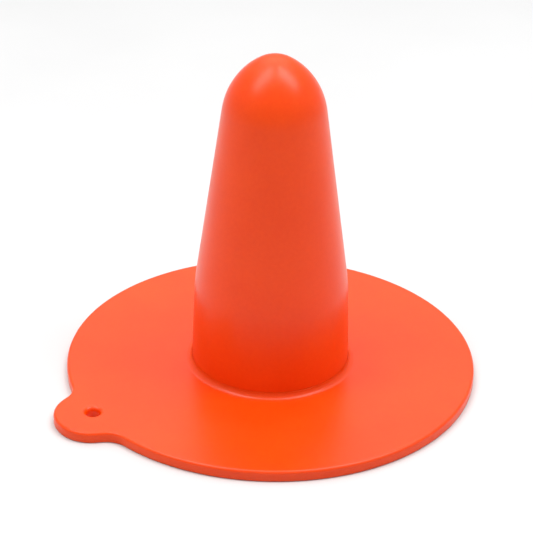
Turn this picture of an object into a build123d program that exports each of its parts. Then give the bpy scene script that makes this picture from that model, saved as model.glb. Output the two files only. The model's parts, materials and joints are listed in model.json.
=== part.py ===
"""A small flanged marker cone: a hollow domed post held in a round base plate with a hang tab.

Millimetres, +Z up. The origin is on the post's axis, level with the plate's underside. The hang tab points along -X.
"""

import os
from math import acos, atan2, cos, degrees, sin

from build123d import *

# ---- Base plate ----
PLATE_RADIUS = 55.0
PLATE_THICKNESS = 3.0
TOP_EDGE_RADIUS = 0.8
BOTTOM_EDGE_RADIUS = 0.4

# ---- Hang tab, measured from the post's axis ----
TAB_REACH = 64.4
TAB_END_WIDTH = 14.0
TAB_ROOT_DISTANCE = 46.0  # its sides start here, inside the plate
TAB_ROOT_WIDTH = 28.8
TAB_CORNER_RADIUS = 9.8
TAB_BLEND_RADIUS = 6.5  # in the two hollow corners between the tab and the plate
HANG_HOLE_DISTANCE = 54.3
HANG_HOLE_RADIUS = 1.9
HANG_HOLE_TOP_EDGE_RADIUS = 1.0
HANG_HOLE_BOTTOM_EDGE_RADIUS = 0.15

# ---- Post ----
POST_FOOT_RADIUS = 21.1
POST_BEND_RADIUS = 20.4  # the steeper taper starts here
POST_BEND_HEIGHT = 26.5
POST_BEND_ARC_RADIUS = 60.0
SHOULDER_RADIUS = 13.5  # the taper runs into the dome here
SHOULDER_HEIGHT = 76.3
SHOULDER_ARC_RADIUS = 19.0
NOSE_ARC_RADIUS = 8.8
WALL = 2.4
MOUTH_EDGE_RADIUS = 0.8

# ---- The joint between the post and the plate ----
FOOT_FLANGE_RADIUS = 30.0
FOOT_FLANGE_THICKNESS = 1.4
FOOT_FLANGE_EDGE_RADIUS = 0.3
FOOT_FLANGE_RAISE = 0.1  # it stands this far clear of the ground, so that the plate carries the cone
FOOT_FLANGE_SIDE_GAP = 0.3
BOND_GAP = 0.05  # the glue line between the post and the bore
COLLAR_HEIGHT = 1.6
COLLAR_LIP = 0.12  # the collar's thickness at its upper rim

# ---- Heights that follow from the above ----
FLANGE_TOP = FOOT_FLANGE_RAISE + FOOT_FLANGE_THICKNESS
COLLAR_TOP = PLATE_THICKNESS + COLLAR_HEIGHT
BORE_RADIUS = POST_FOOT_RADIUS + BOND_GAP
RECESS_RADIUS = FOOT_FLANGE_RADIUS + FOOT_FLANGE_SIDE_GAP


def dome_geometry():
    """The taper's angle, the centres of the dome's shoulder and nose arcs, and the angle where the two arcs meet."""
    taper = atan2(POST_BEND_RADIUS - SHOULDER_RADIUS, SHOULDER_HEIGHT - POST_BEND_HEIGHT)
    shoulder_x = SHOULDER_RADIUS - SHOULDER_ARC_RADIUS * cos(taper)
    shoulder_z = SHOULDER_HEIGHT - SHOULDER_ARC_RADIUS * sin(taper)
    between_centres = SHOULDER_ARC_RADIUS - NOSE_ARC_RADIUS
    meeting = acos(-shoulder_x / between_centres)
    nose_z = shoulder_z + between_centres * sin(meeting)
    return taper, (shoulder_x, shoulder_z), (0, nose_z), meeting


def post_form(inset, bottom):
    """The solid form of the post with its surface moved in by inset, standing on the height bottom."""
    taper, shoulder, nose, meeting = dome_geometry()
    foot = POST_FOOT_RADIUS - inset
    bend = (POST_BEND_RADIUS - inset, POST_BEND_HEIGHT)
    shoulder_arc = CenterArc(
        shoulder, SHOULDER_ARC_RADIUS - inset, degrees(taper), degrees(meeting - taper)
    )
    nose_arc = CenterArc(nose, NOSE_ARC_RADIUS - inset, degrees(meeting), 90 - degrees(meeting))
    side = Polyline((0, bottom), (foot, bottom), (foot, COLLAR_TOP), bend, shoulder_arc @ 0)
    axis_line = Line(nose_arc @ 1, (0, bottom))
    face = make_face(side + shoulder_arc + nose_arc + axis_line)
    bend_corner = face.vertices().sort_by_distance(bend)[0]
    face = fillet(bend_corner, POST_BEND_ARC_RADIUS)
    return revolve(Plane.XZ * face, Axis.Z)


def foot_flange():
    """The flat ring round the post's foot that keeps the post from pulling up through the plate."""
    ring = Cylinder(FOOT_FLANGE_RADIUS, FOOT_FLANGE_THICKNESS, align=(Align.CENTER, Align.CENTER, Align.MIN))
    ring = Pos(0, 0, FOOT_FLANGE_RAISE) * ring
    return fillet(ring.edges().filter_by(GeomType.CIRCLE), FOOT_FLANGE_EDGE_RADIUS)


def cone_post():
    """The hollow post, open underneath, with its foot flange."""
    solid = post_form(0, FOOT_FLANGE_RAISE) + foot_flange() - post_form(WALL, -1)
    mouth = solid.edges().filter_by(GeomType.CIRCLE).group_by(Axis.Z)[0].sort_by(SortBy.RADIUS)[0]
    return fillet(mouth, MOUTH_EDGE_RADIUS)


def plate_outline():
    """The round plate's outline with the hang tab blended into it."""
    half_root = TAB_ROOT_WIDTH / 2
    half_end = TAB_END_WIDTH / 2
    tab = make_face(
        Polyline(
            (-TAB_ROOT_DISTANCE, -half_root),
            (-TAB_REACH, -half_end),
            (-TAB_REACH, half_end),
            (-TAB_ROOT_DISTANCE, half_root),
            close=True,
        )
    )
    tab = fillet(tab.vertices().group_by(Axis.X)[0], TAB_CORNER_RADIUS)
    outline = Circle(PLATE_RADIUS) + tab
    corners = [v for v in outline.vertices() if is_hollow_corner(v)]
    return fillet(corners, TAB_BLEND_RADIUS)


def is_hollow_corner(vertex):
    """Whether an outline vertex is one of the two where the tab's straight sides leave the round edge."""
    on_edge = abs(Vector(vertex.X, vertex.Y).length - PLATE_RADIUS) < 0.01
    return on_edge and vertex.X < 0 and abs(vertex.Y) > HANG_HOLE_RADIUS


def collar():
    """The raised lip round the bore, whose hollow outer side runs down into the plate."""
    foot = BORE_RADIUS + COLLAR_LIP + COLLAR_HEIGHT
    rim = BORE_RADIUS + COLLAR_LIP
    hollow = CenterArc((foot, COLLAR_TOP), COLLAR_HEIGHT, 180, 90)
    side = Polyline(
        (foot, PLATE_THICKNESS),
        (foot, FLANGE_TOP),
        (BORE_RADIUS, FLANGE_TOP),
        (BORE_RADIUS, COLLAR_TOP),
        (rim, COLLAR_TOP),
    )
    return revolve(Plane.XZ * make_face(hollow + side), Axis.Z)


def base_disc():
    """The plate with its hang tab, the recess for the foot flange, the bore and the collar."""
    plate = extrude(plate_outline(), PLATE_THICKNESS)
    plate = fillet(plate.faces().sort_by(Axis.Z)[-1].edges(), TOP_EDGE_RADIUS)
    plate = fillet(plate.faces().sort_by(Axis.Z)[0].edges(), BOTTOM_EDGE_RADIUS)
    plate -= Cylinder(RECESS_RADIUS, 2 * FLANGE_TOP)
    plate -= Cylinder(BORE_RADIUS, 4 * PLATE_THICKNESS)
    plate -= Pos(-HANG_HOLE_DISTANCE, 0, 0) * Cylinder(HANG_HOLE_RADIUS, 4 * PLATE_THICKNESS)
    for height, radius in ((PLATE_THICKNESS, HANG_HOLE_TOP_EDGE_RADIUS), (0, HANG_HOLE_BOTTOM_EDGE_RADIUS)):
        on_rim = (-HANG_HOLE_DISTANCE, HANG_HOLE_RADIUS, height)
        plate = fillet(plate.edges().sort_by_distance(on_rim)[0], radius)
    return plate + collar()


os.makedirs("parts", exist_ok=True)
export_step(cone_post(), "parts/cone_post.step")
export_step(base_disc(), "parts/base_disc.step")
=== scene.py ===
"""The looks of the flanged marker cone: a skin for the post and a skin for the plate, in metres.

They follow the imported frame: the post's axis is Z, the ground is z = 0 and the hang tab points along -X.
"""

import json
from math import acos, atan2, cos, pi, radians, sin, sqrt, tan

import bpy
from mathutils import Matrix, Vector


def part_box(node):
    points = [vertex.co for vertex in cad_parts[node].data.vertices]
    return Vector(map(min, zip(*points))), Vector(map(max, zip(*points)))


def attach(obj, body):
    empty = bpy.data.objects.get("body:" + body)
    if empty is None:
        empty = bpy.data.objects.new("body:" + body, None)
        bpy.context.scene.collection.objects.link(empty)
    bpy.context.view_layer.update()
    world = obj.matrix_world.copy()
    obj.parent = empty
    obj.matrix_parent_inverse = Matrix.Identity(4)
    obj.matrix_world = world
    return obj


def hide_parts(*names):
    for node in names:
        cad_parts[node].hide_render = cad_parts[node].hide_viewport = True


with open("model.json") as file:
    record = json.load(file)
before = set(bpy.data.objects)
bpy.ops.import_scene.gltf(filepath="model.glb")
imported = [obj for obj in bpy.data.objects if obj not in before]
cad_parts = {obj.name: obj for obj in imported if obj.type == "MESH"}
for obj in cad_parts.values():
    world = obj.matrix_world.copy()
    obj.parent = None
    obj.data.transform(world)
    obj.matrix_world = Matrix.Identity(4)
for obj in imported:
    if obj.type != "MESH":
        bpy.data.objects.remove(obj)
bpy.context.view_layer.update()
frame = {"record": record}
MM = 0.001

# ---- Sizes read from the frame ----
PLATE_LOW, PLATE_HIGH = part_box("base_disc")
POST_LOW, POST_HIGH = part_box("cone_post")
HANG_HOLE = {m["name"]: m for m in frame["record"]["mounts"]}["hang_hole"]
PLATE_R = PLATE_HIGH.x
TAB_REACH = -PLATE_LOW.x
COLLAR_TOP = PLATE_HIGH.z
FLANGE_R = POST_HIGH.x
FLANGE_BOTTOM = POST_LOW.z
HOLE_X = HANG_HOLE["pos_m"][0]
HOLE_R = HANG_HOLE["dims"]["r_mm"] * MM

# ---- Sizes of the plate and its tab that no box gives ----
PLATE_T = 3.0 * MM
TOP_EDGE_R = 0.8 * MM
BOTTOM_EDGE_R = 0.4 * MM
TAB_ROOT = Vector((-46.0, 14.4)) * MM
TAB_END_HALF = 7.0 * MM
TAB_CORNER_R = 9.8 * MM
TAB_BLEND_R = 6.5 * MM
HOLE_TOP_EDGE_R = 1.0 * MM
HOLE_BOTTOM_EDGE_R = 0.15 * MM
RECESS_R = 30.3 * MM
RECESS_TOP = 1.5 * MM
BORE_R = 21.15 * MM
COLLAR_LIP = 0.12 * MM
CREASE_R = 0.12 * MM  # the softened edges of the lip, the recess and the flange
LIP_CREASE_ANGLE = 0.04

# ---- Sizes of the post ----
POST_FOOT_R = 21.1 * MM
POST_BEND = (20.4 * MM, 26.5 * MM)
POST_BEND_ARC_R = 60.0 * MM
SHOULDER = (13.5 * MM, 76.3 * MM)
SHOULDER_ARC_R = 19.0 * MM
NOSE_ARC_R = 8.8 * MM
WALL = 2.4 * MM
MOUTH_EDGE_R = 0.8 * MM
FLANGE_EDGE_R = 0.3 * MM

# ---- Wear at the edges, 0 to 1 ----
BORE_EDGE_WEAR = 0.3
LIP_WEAR = 0.5
RIM_WEAR = 0.6
RIM_SIDE_WEAR = 0.35
HOLE_TOP_WEAR = 0.8
HOLE_LOW_WEAR = 0.5
FLANGE_WEAR = 0.4
MOUTH_WEAR = 0.5

# ---- Mesh density ----
POST_SEGMENTS = 224
ROUND_STEPS = 76  # along half of the plate's round edge
BLEND_STEPS = 8
SIDE_STEPS = 4
CORNER_STEPS = 12
END_STEPS = 3  # from the tab's corner to its middle
PATCH_RAYS = 18  # the patch of the plate's mesh that holds the hang hole
PATCH_RINGS = 18
PATCH_HALF = 4.8 * MM


# ======== Outlines ========

def arc(centre, radius, start, end, steps):
    """Points of a flat arc from the angle start to the angle end, both included."""
    angles = [start + (end - start) * k / steps for k in range(steps + 1)]
    return [(centre[0] + radius * cos(a), centre[1] + radius * sin(a)) for a in angles]


def run(start, end, steps):
    """Points of a straight run from start to end, both left out."""
    return [
        (start[0] + (end[0] - start[0]) * k / steps, start[1] + (end[1] - start[1]) * k / steps)
        for k in range(1, steps)
    ]


def half_plate_outline():
    """(point, outward normal) along the plate's edge, from +X by +Y to the middle of the tab's end."""
    end = Vector((-TAB_REACH, TAB_END_HALF))
    side = (end - TAB_ROOT).normalized()
    out = Vector((side.y, -side.x))
    corner_x = -TAB_REACH + TAB_CORNER_R
    corner_y = end.y - TAB_CORNER_R * (1 + out.x) / out.y
    corner = Vector((corner_x, corner_y))
    base = TAB_ROOT + out * TAB_BLEND_R
    along = base.dot(side)
    blend_distance = PLATE_R + TAB_BLEND_R
    blend = base + side * (sqrt(along**2 - base.length_squared + blend_distance**2) - along)
    round_end = atan2(blend.y, blend.x)
    side_angle = atan2(out.y, out.x)

    outline = []

    def add_arc(centre, radius, start, stop, steps, hollow=False):
        for k in range(steps + 1):
            angle = start + (stop - start) * k / steps
            direction = Vector((cos(angle), sin(angle)))
            outline.append((centre + direction * radius, -direction if hollow else direction))

    add_arc(Vector((0, 0)), PLATE_R, 0, round_end, ROUND_STEPS)
    outline.pop()
    add_arc(blend, TAB_BLEND_R, round_end + pi, side_angle + pi, BLEND_STEPS, hollow=True)
    touch = outline[-1][0]
    corner_touch = corner + out * TAB_CORNER_R
    outline.extend((touch.lerp(corner_touch, k / SIDE_STEPS), out) for k in range(1, SIDE_STEPS))
    add_arc(corner, TAB_CORNER_R, side_angle, pi, CORNER_STEPS)
    west = Vector((-1, 0))
    outline.extend(
        (Vector((-TAB_REACH, corner.y * (1 - k / END_STEPS))), west) for k in range(1, END_STEPS + 1)
    )
    return outline


def plate_outline():
    """The whole edge as (point, outward normal), and the index of the middle of the tab's end."""
    half = half_plate_outline()
    middle = len(half) - 1
    mirrored = [(Vector((p.x, -p.y)), Vector((n.x, -n.y))) for p, n in reversed(half[1:-1])]
    return half + mirrored, middle


# ======== Meshes ========

def make_piece(name, vertices, faces, wear):
    """A smooth mesh object with a wear value at each vertex."""
    mesh = bpy.data.meshes.new(name)
    mesh.from_pydata([tuple(v) for v in vertices], [], faces)
    mesh.validate()
    attribute = mesh.attributes.new("wear", "FLOAT", "POINT")
    attribute.data.foreach_set("value", wear)
    mesh.polygons.foreach_set("use_smooth", [True] * len(mesh.polygons))
    piece = bpy.data.objects.new(name, mesh)
    bpy.context.scene.collection.objects.link(piece)
    weighted = piece.modifiers.new("even_normals", "WEIGHTED_NORMAL")
    weighted.weight = 60
    return piece


def spread(near, far, steps):
    """Even shares from near to far, with near left out."""
    return [near + (far - near) * k / steps for k in range(1, steps + 1)]


def ring_shares(inner, outer, inner_steps, outer_steps):
    """Where the plate's rings lie, 0 at the inner ring to 1 at the edge, and the patch's first ring."""
    near = (-HOLE_X - PATCH_HALF - inner) / (outer - inner)
    far = (-HOLE_X + PATCH_HALF - inner) / (outer - inner)
    shares = [0.0] + spread(0, near, inner_steps) + spread(near, far, PATCH_RINGS)
    shares += spread(far, 1, outer_steps)
    return shares, inner_steps


def plate_skin():
    """The plate, its tab, hole, collar and recess as one closed mesh of rings and rays."""
    outline, middle = plate_outline()
    rays = len(outline)
    azimuths = [atan2(p.y, p.x) for p, _ in outline]
    vertices, wear, starts = [], [], []

    def add_ring(points, worn=0.0):
        starts.append(len(vertices))
        vertices.extend(points)
        wear.extend([worn] * len(points))

    def round_ring(radius, z, worn=0.0):
        add_ring([Vector((radius * cos(a), radius * sin(a), z)) for a in azimuths], worn)

    def edge_ring(inset, z, worn=0.0):
        add_ring([Vector((*(p - n * inset), z)) for p, n in outline], worn)

    def flat_rings(radius, inset, z, shares):
        for share in shares:
            points = []
            for (p, n), a in zip(outline, azimuths):
                inner = Vector((radius * cos(a), radius * sin(a)))
                points.append(Vector((*inner.lerp(p - n * inset, share), z)))
            add_ring(points)

    # the bore and the collar, from the recess up
    round_ring(BORE_R, RECESS_TOP + CREASE_R)
    round_ring(BORE_R, PLATE_T)
    lip = BORE_R + COLLAR_LIP
    round_ring(BORE_R, COLLAR_TOP - CREASE_R / 2, BORE_EDGE_WEAR)
    round_ring(BORE_R + CREASE_R / 2, COLLAR_TOP, LIP_WEAR)
    collar_r = COLLAR_TOP - PLATE_T
    collar_centre = (lip + collar_r, COLLAR_TOP)
    # two close rings at the top keep the lip's flat from shading the hollow side
    top_angle = pi + LIP_CREASE_ANGLE
    for radius, z in arc(collar_centre, collar_r, pi, top_angle, 1):
        round_ring(radius, z)
    for radius, z in arc(collar_centre, collar_r, top_angle, 1.5 * pi, 10)[1:-1]:
        round_ring(radius, z)
    # the upper face
    top_inner = lip + collar_r
    top_shares, first = ring_shares(top_inner, TAB_REACH - TOP_EDGE_R, 9, 4)
    top_patch = len(starts) + first
    flat_rings(top_inner, TOP_EDGE_R, PLATE_T, top_shares)
    # the rim
    for out, z in arc((-TOP_EDGE_R, PLATE_T - TOP_EDGE_R), TOP_EDGE_R, pi / 2, 0, 6)[1:]:
        edge_ring(-out, z, RIM_WEAR)
    side_top = PLATE_T - TOP_EDGE_R
    for share in (0.35, 0.7):
        edge_ring(0, side_top - share * (side_top - BOTTOM_EDGE_R), RIM_SIDE_WEAR)
    for out, z in arc((-BOTTOM_EDGE_R, BOTTOM_EDGE_R), BOTTOM_EDGE_R, 0, -pi / 2, 4)[:-1]:
        edge_ring(-out, z, RIM_WEAR)
    # the underside, from the rim in to the recess
    under_shares, first = ring_shares(RECESS_R + CREASE_R, TAB_REACH - BOTTOM_EDGE_R, 7, 4)
    under_patch = len(starts) + len(under_shares) - 1 - first
    flat_rings(RECESS_R + CREASE_R, BOTTOM_EDGE_R, 0, reversed(under_shares))
    round_ring(RECESS_R, CREASE_R)
    round_ring(RECESS_R, RECESS_TOP - CREASE_R)
    for share in (0.02, 0.5, 0.97):
        round_ring(RECESS_R + (BORE_R - RECESS_R) * share, RECESS_TOP)

    first_ray = middle - PATCH_RAYS // 2
    patch_rings = {*range(top_patch, top_patch + PATCH_RINGS)}
    patch_rings |= {*range(under_patch - PATCH_RINGS, under_patch)}
    patch_rays = range(first_ray, first_ray + PATCH_RAYS)
    faces = []
    for j, start in enumerate(starts):
        following = starts[(j + 1) % len(starts)]
        for i in range(rays):
            if j in patch_rings and i in patch_rays:
                continue
            k = (i + 1) % rays
            faces.append((start + i, following + i, following + k, start + k))

    def patch_loop(near, far):
        """The vertex numbers round the patch, from its corner by the inner ring on, outwards last."""
        last_ray = first_ray + PATCH_RAYS
        step = 1 if far > near else -1
        loop = [starts[near] + i for i in range(first_ray, last_ray)]
        loop += [starts[j] + last_ray for j in range(near, far, step)]
        loop += [starts[far] + i for i in range(last_ray, first_ray, -1)]
        loop += [starts[j] + first_ray for j in range(far, near, -step)]
        return loop

    upper = patch_loop(top_patch, top_patch + PATCH_RINGS)
    lower = patch_loop(under_patch, under_patch - PATCH_RINGS)
    count = len(upper)
    hole = Vector((HOLE_X, 0))
    first_corner = vertices[upper[0]].xy - hole
    start_angle = atan2(first_corner.y, first_corner.x)

    def hole_ring(radius, z, worn=0.0, outer=None, share=0.0):
        start = len(vertices)
        for k in range(count):
            angle = start_angle - 2 * pi * k / count
            point = Vector((hole.x + radius * cos(angle), radius * sin(angle), z))
            vertices.append(point.lerp(vertices[outer[k]], share) if outer else point)
        wear.extend([worn] * count)
        return list(range(start, start + count))

    top_rim = HOLE_R + HOLE_TOP_EDGE_R
    low_rim = HOLE_R + HOLE_BOTTOM_EDGE_R
    hole_rings = [upper]
    hole_rings += [hole_ring(top_rim, PLATE_T, 0, upper, share) for share in (0.66, 0.33, 0.08)]
    edge = arc((top_rim, PLATE_T - HOLE_TOP_EDGE_R), HOLE_TOP_EDGE_R, pi / 2, pi, 5)
    hole_rings += [hole_ring(radius, z, HOLE_TOP_WEAR) for radius, z in edge]
    hole_rings += [hole_ring(HOLE_R, PLATE_T / 2)]
    edge = arc((low_rim, HOLE_BOTTOM_EDGE_R), HOLE_BOTTOM_EDGE_R, pi, 1.5 * pi, 4)
    hole_rings += [hole_ring(radius, z, HOLE_LOW_WEAR) for radius, z in edge]
    hole_rings += [hole_ring(low_rim, 0, 0, lower, share) for share in (0.08, 0.33, 0.66)]
    hole_rings.append(lower)
    for near, far in zip(hole_rings, hole_rings[1:]):
        for k in range(count):
            m = (k + 1) % count
            faces.append((near[k], far[k], far[m], near[m]))
    return make_piece("plate_skin", vertices, faces, wear)


def post_outline(inset):
    """(radius, height) from the tip down to the foot's straight part, the surface moved in by inset."""
    taper = atan2(POST_BEND[0] - SHOULDER[0], SHOULDER[1] - POST_BEND[1])
    shoulder = Vector(SHOULDER) - Vector((cos(taper), sin(taper))) * SHOULDER_ARC_R
    between = SHOULDER_ARC_R - NOSE_ARC_R
    meeting = acos(-shoulder.x / between)
    nose = (0, shoulder.y + between * sin(meeting))
    tip = arc(nose, NOSE_ARC_R - inset, pi / 2, meeting, 14)
    shoulder_arc = arc(shoulder, SHOULDER_ARC_R - inset, meeting, taper, 16)[1:]
    # a wide arc rounds off the bend between the taper and the nearly straight foot
    bend = (POST_BEND[0] - inset, POST_BEND[1])
    foot = (POST_FOOT_R - inset, COLLAR_TOP)
    foot_slope = atan2(foot[0] - bend[0], bend[1] - foot[1])
    tangent = POST_BEND_ARC_R * tan((taper - foot_slope) / 2)
    above = (bend[0] - tangent * sin(taper), bend[1] + tangent * cos(taper))
    centre = (above[0] - POST_BEND_ARC_R * cos(taper), above[1] - POST_BEND_ARC_R * sin(taper))
    bend_arc = arc(centre, POST_BEND_ARC_R, taper, foot_slope, 6)
    points = tip + shoulder_arc + run(shoulder_arc[-1], bend_arc[0], 20)
    return points + bend_arc + run(bend_arc[-1], foot, 10) + [foot]


def post_skin():
    """The hollow post and its foot flange, turned about Z."""
    outside = [(r, z, 0.0) for r, z in post_outline(0)]
    inside = [(r, z, 0.0) for r, z in reversed(post_outline(WALL))]
    neck = [(POST_FOOT_R, RECESS_TOP + CREASE_R, 0.0), (POST_FOOT_R + CREASE_R, RECESS_TOP, 0.0)]
    edge_in = FLANGE_R - FLANGE_EDGE_R
    upper = arc((edge_in, RECESS_TOP - FLANGE_EDGE_R), FLANGE_EDGE_R, pi / 2, 0, 3)
    lower = arc((edge_in, FLANGE_BOTTOM + FLANGE_EDGE_R), FLANGE_EDGE_R, 0, -pi / 2, 3)
    mouth_r = POST_FOOT_R - WALL
    mouth = arc((mouth_r + MOUTH_EDGE_R, FLANGE_BOTTOM + MOUTH_EDGE_R), MOUTH_EDGE_R, 1.5 * pi, pi, 6)
    flange = [(r, z, FLANGE_WEAR) for r, z in upper + lower]
    under = [(r, z, 0.0) for r, z in run(lower[-1], mouth[0], 5)]
    profile = outside + neck + flange + under + [(r, z, MOUTH_WEAR) for r, z in mouth] + inside
    profile = profile[1:-1]  # the two tips are single vertices

    vertices = [Vector((0, 0, outside[0][1]))]
    wear = [0.0]
    for radius, z, worn in profile:
        for k in range(POST_SEGMENTS):
            angle = 2 * pi * k / POST_SEGMENTS
            vertices.append(Vector((radius * cos(angle), radius * sin(angle), z)))
            wear.append(worn)
    vertices.append(Vector((0, 0, inside[-1][1])))
    wear.append(0.0)

    faces = []
    last = len(vertices) - 1
    last_ring = last - POST_SEGMENTS
    for k in range(POST_SEGMENTS):
        m = (k + 1) % POST_SEGMENTS
        faces.append((0, 1 + k, 1 + m))
        faces.append((last, last_ring + m, last_ring + k))
        for j in range(len(profile) - 1):
            near = 1 + j * POST_SEGMENTS
            far = near + POST_SEGMENTS
            faces.append((near + k, far + k, far + m, near + m))
    return make_piece("post_skin", vertices, faces, wear)


# ======== Materials ========

class Shader:
    """A material's or world's node tree, with short ways to add and join nodes."""

    def __init__(self, owner):
        owner.use_nodes = True
        self.tree = owner.node_tree
        self.tree.nodes.clear()

    def node(self, kind, settings=None, **inputs):
        """A node with its settings and its inputs, each a value or another node's output."""
        made = self.tree.nodes.new("ShaderNode" + kind)
        for key, value in (settings or {}).items():
            setattr(made, key, value)
        for key, value in inputs.items():
            self.set(made, key.replace("_", " "), value)
        return made

    def set(self, node, socket, value):
        found = node.inputs[int(socket)] if socket.isdigit() else node.inputs[socket]
        if isinstance(value, bpy.types.NodeSocket):
            self.tree.links.new(value, found)
        else:
            found.default_value = value

    def maths(self, operation, *values):
        """The output of a Math node."""
        made = self.node("Math", {"operation": operation})
        for k, value in enumerate(values):
            self.set(made, str(k), value)
        return made.outputs[0]

    def between(self, value, low, high, to_low=0.0, to_high=1.0):
        """value mapped smoothly from low..high to to_low..to_high, and held outside."""
        made = self.node("MapRange", {"interpolation_type": "SMOOTHSTEP"})
        for k, number in enumerate((value, low, high, to_low, to_high)):
            self.set(made, str(k), number)
        return made.outputs[0]

    def mix(self, share, first, second):
        """A colour between first and second."""
        made = self.node("Mix", {"data_type": "RGBA"})
        self.set(made, "0", share)
        self.set(made, "6", first)
        self.set(made, "7", second)
        return made.outputs[2]

    def noise(self, place, size, detail=2.0, roughness=0.5, distortion=0.0):
        """Noise whose features are about size metres across."""
        made = self.node("TexNoise", Vector=place, Scale=1 / size, Detail=detail)
        self.set(made, "Roughness", roughness)
        self.set(made, "Distortion", distortion)
        return made.outputs[0]


DEEP_ORANGE = (0.84, 0.053, 0.0004, 1)
BRIGHT_ORANGE = (0.91, 0.070, 0.0012, 1)
RUBBED_ORANGE = (0.94, 0.110, 0.014, 1)
CLOUD_SIZE = 20 * MM
SPECK_SIZE = 1.1 * MM
WEAR_PATCH_SIZE = 6 * MM
SCUFF_SIZE = 0.5 * MM
SCUFF_ZONE_SIZE = 18 * MM
WAVE_SIZE = 9 * MM
GRAIN_SIZE = 0.3 * MM
GRAIN_HEIGHT = 0.009  # these three in millimetres
WAVE_HEIGHT = 0.03
SCUFF_DEPTH = 0.006
SMOOTHEST, ROUGHEST = 0.29, 0.33
ROUGHER_WHERE_RUBBED = 0.12


def soft_plastic(name, shift):
    """Fluorescent orange soft moulded plastic: satin, very faintly clouded, a little rubbed on its edges."""
    material = bpy.data.materials.new(name)
    shader = Shader(material)
    coordinates = shader.node("TexCoord").outputs["Object"]
    moved = shader.node("VectorMath", {"operation": "ADD"})
    shader.set(moved, "0", coordinates)
    shader.set(moved, "1", (shift, 2 * shift, 3 * shift))
    place = moved.outputs[0]

    # colour: broad clouds of pigment with a finer one over them
    clouds = shader.noise(place, CLOUD_SIZE, 2.0)
    specks = shader.noise(place, SPECK_SIZE, 3.0, 0.6)
    clouds = shader.maths("MULTIPLY", clouds, 0.6)
    tone = shader.maths("ADD", clouds, shader.maths("MULTIPLY", specks, 0.4))
    colour = shader.mix(shader.between(tone, 0.2, 0.8), DEEP_ORANGE, BRIGHT_ORANGE)

    # rubbed edges, broken up
    wear = shader.node("Attribute", {"attribute_name": "wear"}).outputs["Fac"]
    patches = shader.between(shader.noise(place, WEAR_PATCH_SIZE, 3.0, 0.55), 0.3, 0.8)
    worn = shader.maths("MULTIPLY", wear, patches)
    colour = shader.mix(shader.maths("MULTIPLY", worn, 0.25), colour, RUBBED_ORANGE)

    # hairline scuffs: long thin noise, kept only at its peaks and only in some zones
    stretched = shader.node("Mapping", Vector=place, Rotation=(0.3, 0.5, 0.7), Scale=(1.0, 0.05, 1.0))
    lines = shader.noise(stretched.outputs[0], SCUFF_SIZE, 2.0, 0.5, 0.3)
    zones = shader.between(shader.noise(place, SCUFF_ZONE_SIZE, 2.0), 0.52, 0.72)
    scuffs = shader.maths("MULTIPLY", shader.between(lines, 0.70, 0.80), zones)

    roughness = shader.between(shader.noise(place, WAVE_SIZE, 3.0), 0.2, 0.8, SMOOTHEST, ROUGHEST)
    for rubbed in (scuffs, worn):
        added = shader.maths("MULTIPLY", rubbed, ROUGHER_WHERE_RUBBED)
        roughness = shader.maths("ADD", roughness, added)

    # relief in millimetres: moulded satin grain, slight waviness, the scuffs
    height = shader.maths("MULTIPLY", shader.noise(place, GRAIN_SIZE, 2.0, 0.5), GRAIN_HEIGHT)
    waves = shader.maths("MULTIPLY", shader.noise(place, WAVE_SIZE, 1.0), WAVE_HEIGHT)
    height = shader.maths("ADD", height, waves)
    height = shader.maths("SUBTRACT", height, shader.maths("MULTIPLY", scuffs, SCUFF_DEPTH))
    bump = shader.node("Bump", Height=height, Strength=1.0, Distance=MM)

    surface = shader.node("BsdfPrincipled", Base_Color=colour, Roughness=roughness, Normal=bump.outputs[0])
    shader.set(surface, "IOR", 1.38)
    shader.set(surface, "Subsurface Weight", 0.2)
    shader.set(surface, "Subsurface Radius", (1.0, 0.25, 0.1))
    shader.set(surface, "Subsurface Scale", 2.0 * MM)
    output = shader.node("OutputMaterial")
    shader.tree.links.new(surface.outputs[0], output.inputs["Surface"])
    return material


def floor_paper():
    """Plain pale paper."""
    material = bpy.data.materials.new("floor_paper")
    shader = Shader(material)
    place = shader.node("TexCoord").outputs["Object"]
    tone = shader.between(shader.noise(place, 90 * MM, 3.0), 0.3, 0.7)
    colour = shader.mix(tone, (0.65, 0.65, 0.65, 1), (0.67, 0.67, 0.67, 1))
    surface = shader.node("BsdfPrincipled", Base_Color=colour, Roughness=0.8)
    shader.set(surface, "Specular IOR Level", 0.1)
    output = shader.node("OutputMaterial")
    shader.tree.links.new(surface.outputs[0], output.inputs["Surface"])
    return material


# ======== Stage, camera and light ========

CAMERA_AZIMUTH = radians(-30.68)
CAMERA_ELEVATION = radians(27.12)
CAMERA_ROLL = radians(0.05)
CAMERA_DISTANCE = 0.55
CAMERA_SIDE = 0.3328 * PLATE_R
CAMERA_RISE = 0.8051 * PLATE_R
CAMERA_LENS = 136.52
CAMERA_SHIFT = (0.12, -0.12)
SENSOR = 36.0

WORLD_BACK = 0.55
WORLD_FRONT = 0.40
OVERHEAD = 1.6
OVERHEAD_TILT = radians(70)
OVERHEAD_EDGE = 0.62  # the cosine of the angle at which its brightness has faded out
SOFTBOX_SIZE = (0.20, 0.42)
SOFTBOX_DISTANCE = 0.6
SOFTBOX_ELEVATION = radians(63)
FLOOR_HALF = 4.0
FLOOR_GAP = 0.02 * MM


def toward(azimuth, elevation):
    """The unit vector from the object towards a viewer. Azimuth 0 looks along +Y."""
    flat = cos(elevation)
    return Vector((sin(azimuth) * flat, -cos(azimuth) * flat, sin(elevation)))


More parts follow.
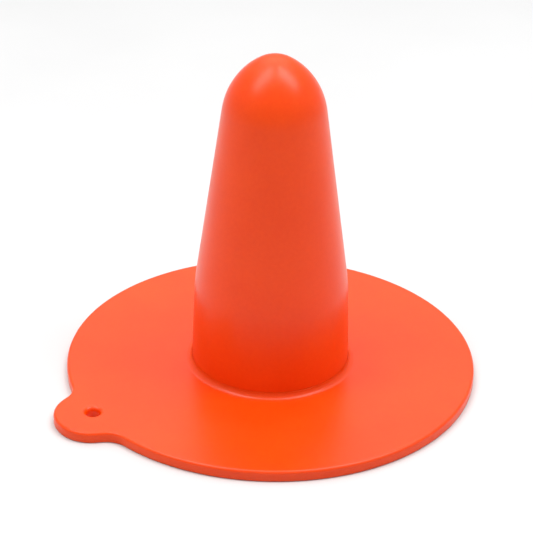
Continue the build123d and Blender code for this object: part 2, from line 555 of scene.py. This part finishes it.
def make_camera():
    """The camera looks past the foot of the post, a little to its side and well above it."""
    back = toward(CAMERA_AZIMUTH, CAMERA_ELEVATION)
    level_right = Vector((cos(CAMERA_AZIMUTH), sin(CAMERA_AZIMUTH), 0))
    level_up = back.cross(level_right)
    right = level_right * cos(CAMERA_ROLL) + level_up * sin(CAMERA_ROLL)
    up = level_up * cos(CAMERA_ROLL) - level_right * sin(CAMERA_ROLL)
    place = back * CAMERA_DISTANCE - right * CAMERA_SIDE + up * CAMERA_RISE
    data = bpy.data.cameras.new("camera")
    data.lens = CAMERA_LENS
    data.sensor_width = SENSOR
    data.shift_x, data.shift_y = CAMERA_SHIFT
    camera = bpy.data.objects.new("camera", data)
    camera.matrix_world = Matrix.Translation(place) @ Matrix((right, up, back)).transposed().to_4x4()
    bpy.context.scene.collection.objects.link(camera)
    bpy.context.scene.camera = camera


def softbox(name, azimuth, strength):
    """A rectangular soft light aimed at the middle of the post. Azimuth is counted from the camera's."""
    width, height = SOFTBOX_SIZE
    data = bpy.data.lights.new(name, "AREA")
    data.shape = "RECTANGLE"
    data.size = width
    data.size_y = height
    data.energy = strength * width * height * pi
    light = bpy.data.objects.new(name, data)
    direction = toward(CAMERA_AZIMUTH + radians(azimuth), SOFTBOX_ELEVATION)
    target = Vector((0, 0, POST_HIGH.z / 2))
    light.location = target + direction * SOFTBOX_DISTANCE
    light.rotation_euler = direction.to_track_quat("Z", "Y").to_euler()
    bpy.context.scene.collection.objects.link(light)


def make_world():
    """A pale room, dimmer on the camera's side, with a soft brightness overhead that leans to the back."""
    world = bpy.data.worlds.new("world")
    bpy.context.scene.world = world
    shader = Shader(world)
    direction = shader.node("TexCoord").outputs["Generated"]

    def along(axis):
        made = shader.node("VectorMath", {"operation": "DOT_PRODUCT"})
        shader.set(made, "0", direction)
        shader.set(made, "1", axis)
        return made.outputs["Value"]

    room = shader.between(along(toward(CAMERA_AZIMUTH, 0)), 0.1, 0.9, WORLD_BACK, WORLD_FRONT)
    leaning = along(toward(CAMERA_AZIMUTH + pi, OVERHEAD_TILT))
    overhead = shader.between(leaning, OVERHEAD_EDGE, 1.0, 0.0, OVERHEAD)
    strength = shader.maths("ADD", room, overhead)
    background = shader.node("Background", Color=(1, 1, 1, 1), Strength=strength)
    output = shader.node("OutputWorld")
    shader.tree.links.new(background.outputs[0], output.inputs["Surface"])


def make_floor():
    """A wide sheet of pale paper, a hair under the plate."""
    mesh = bpy.data.meshes.new("floor")
    signs = ((-1, -1), (1, -1), (1, 1), (-1, 1))
    corners = [(x * FLOOR_HALF, y * FLOOR_HALF, -FLOOR_GAP) for x, y in signs]
    mesh.from_pydata(corners, [], [(0, 1, 2, 3)])
    mesh.materials.append(floor_paper())
    floor = bpy.data.objects.new("floor", mesh)
    bpy.context.scene.collection.objects.link(floor)


post = post_skin()
post.data.materials.append(soft_plastic("post_plastic", 0.0))
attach(post, "root")
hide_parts("cone_post")

plate = plate_skin()
plate.data.materials.append(soft_plastic("base_plastic", 0.37))
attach(plate, "root")
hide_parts("base_disc")

make_camera()
make_floor()
make_world()
softbox("left_softbox", -74, 5.2)
softbox("right_softbox", 80, 6.2)
bpy.context.scene.view_settings.view_transform = "Standard"
